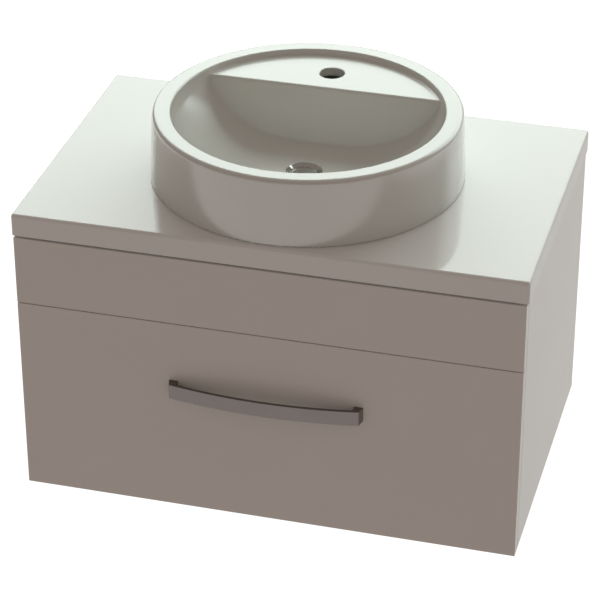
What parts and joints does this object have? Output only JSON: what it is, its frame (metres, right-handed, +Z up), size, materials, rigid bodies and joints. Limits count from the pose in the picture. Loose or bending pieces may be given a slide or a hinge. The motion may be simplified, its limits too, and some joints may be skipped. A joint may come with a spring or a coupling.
{
  "type": "vessel sink on vanity",
  "caption": "Wall-hung vanity with a deep pull-out drawer, a fixed fascia, a thick worktop and a round vessel basin with a tap ledge, waste and bottle trap.",
  "frame": {"origin": "on the wall face, midway between the two fixing holes of the hanging rail", "axes": "+X to the right seen from the room, +Y into the wall, +Z up"},
  "size_m": [0.705, 0.5025, 0.5265],
  "materials": {
    "gloss_lacquer": "white high-gloss lacquer on fibreboard",
    "white_board": "white melamine-faced chipboard, faintly textured",
    "thin_board": "thin white-faced fibreboard",
    "gloss_worktop": "white high-gloss worktop with softened edges",
    "white_glaze": "white glossy glaze over vitreous china",
    "satin_steel": "satin, faintly brushed",
    "chrome_plate": "polished chrome plate",
    "brass_nut": "plain brass",
    "silicone": "translucent white sealant",
    "black_rubber": "matt black rubber",
    "zinc_steel": "bright zinc-plated steel",
    "zinc_cast": "die-cast zinc alloy, dull",
    "beech": "plain fluted beech",
    "clear_bumper": "soft translucent dots"
  },
  "bodies": {
    "cabinet": {"side_left": "gloss_lacquer", "side_right": "gloss_lacquer", "base_panel": "white_board", "hanging_rail": "white_board", "lower_rail": "white_board", "front_rail": "white_board", "fascia": "gloss_lacquer", "fascia_brackets": "zinc_steel", "bracket_screws": "zinc_steel", "cam_locks": "zinc_cast", "cam_bolts": "zinc_steel", "dowels": "beech", "worktop": "gloss_worktop", "worktop_screws": "zinc_steel", "runner_outer_left": "zinc_steel", "runner_outer_right": "zinc_steel", "runner_outer_screws": "zinc_steel", "basin": "white_glaze", "basin_seal": "silicone", "waste_body": "chrome_plate", "waste_seal": "black_rubber", "waste_washer": "black_rubber", "waste_nut": "brass_nut", "trap_inlet_nut": "chrome_plate", "trap_inlet_seal": "black_rubber", "trap_dip_tube": "chrome_plate", "trap_collar_nut": "chrome_plate", "trap_body": "chrome_plate", "trap_cup": "chrome_plate", "trap_outlet_nut": "chrome_plate", "outlet_pipe": "chrome_plate", "wall_rosette": "chrome_plate"},
    "drawer": {"drawer_front": "gloss_lacquer", "drawer_subfront": "white_board", "drawer_side_left": "white_board", "drawer_side_right": "white_board", "drawer_back": "white_board", "drawer_bottom": "thin_board", "front_screws": "zinc_steel", "handle": "satin_steel", "handle_screws": "zinc_steel", "bumpers": "clear_bumper", "runner_inner_left": "zinc_steel", "runner_inner_right": "zinc_steel", "runner_inner_screws": "zinc_steel"},
    "runner_middle_left": {"runner_middle_left": "zinc_steel"},
    "runner_middle_right": {"runner_middle_right": "zinc_steel"},
    "plug": {"plug_cap": "chrome_plate", "plug_seal": "black_rubber", "plug_stem": "chrome_plate"}
  },
  "joints": [
    {"name": "drawer_slide", "type": "slide", "parent": "cabinet", "child": "drawer", "axis": [0, -1, 0], "range_m": [0, 0.35]},
    {"name": "runner_left_slide", "type": "slide", "parent": "cabinet", "child": "runner_middle_left", "axis": [0, -1, 0], "range_m": [0, 0.175]},
    {"name": "runner_right_slide", "type": "slide", "parent": "cabinet", "child": "runner_middle_right", "axis": [0, -1, 0], "range_m": [0, 0.175]},
    {"name": "plug_lift", "type": "slide", "parent": "cabinet", "child": "plug", "axis": [0, 0, 1], "range_m": [0, 0.008]}
  ],
  "couplings": [
    {"joint": "runner_left_slide", "follows": "drawer_slide", "ratio": 0.5},
    {"joint": "runner_right_slide", "follows": "drawer_slide", "ratio": 0.5}
  ]
}
